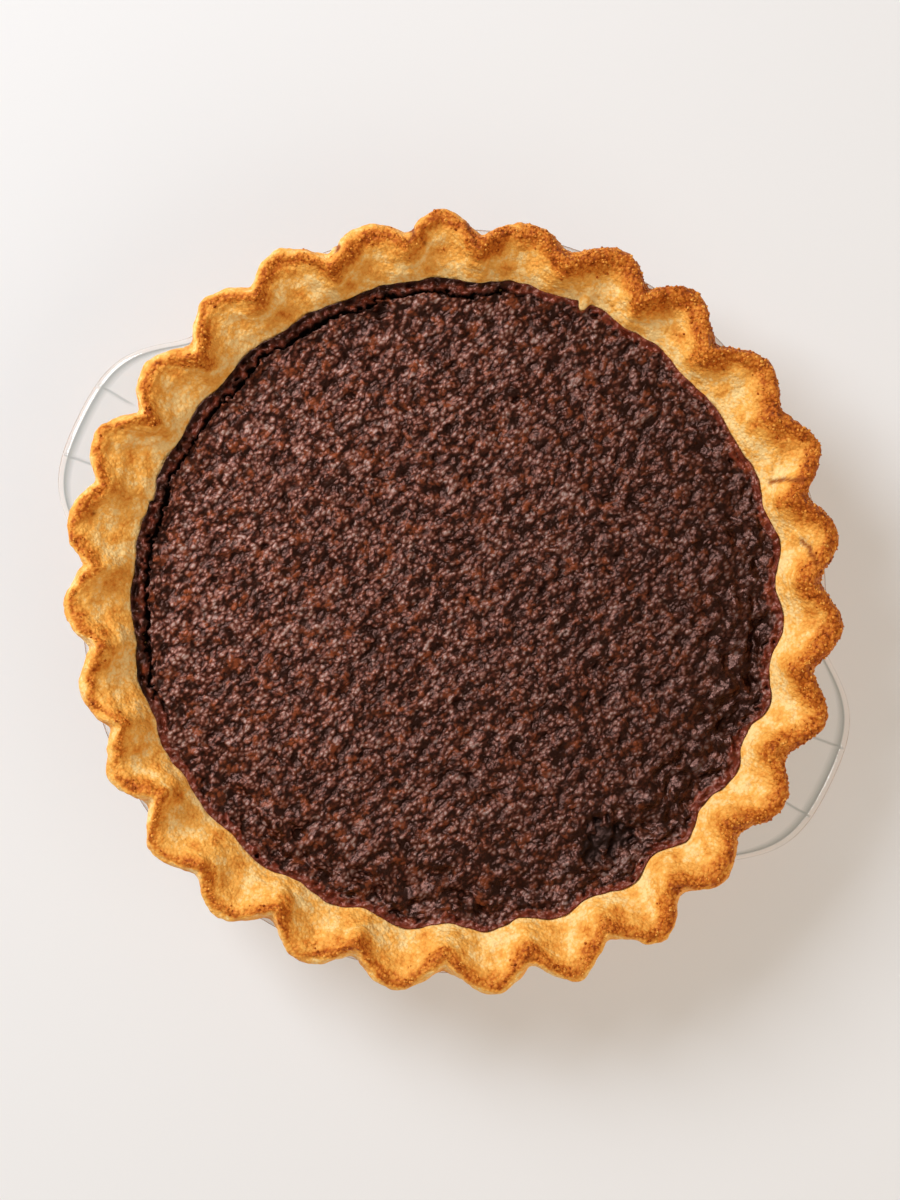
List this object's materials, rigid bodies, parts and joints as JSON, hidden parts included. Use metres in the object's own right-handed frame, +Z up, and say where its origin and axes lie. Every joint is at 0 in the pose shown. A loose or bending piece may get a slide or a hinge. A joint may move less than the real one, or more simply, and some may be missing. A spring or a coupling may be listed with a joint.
{
  "type": "chocolate chess pie",
  "caption": "Round chocolate chess pie with a crimped pastry edge and a crackled dark top, baked in a clear glass dish with grip handles.",
  "frame": {"origin": "on the table, under the middle of the dish's flat foot", "axes": "+Z up, +X through the middle of one grip handle, +Y across the dish"},
  "size_m": [0.2814, 0.2601, 0.0524],
  "materials": {
    "clear_glass": "pressed clear glass, fire-polished",
    "baked_pastry": "baked shortcrust, golden with browned crests",
    "baked_chocolate": "baked chocolate custard with a pebbled, faintly shiny skin"
  },
  "bodies": {
    "root": {"dish": "clear_glass", "crust": "baked_pastry", "filling": "baked_chocolate"}
  },
  "joints": []
}
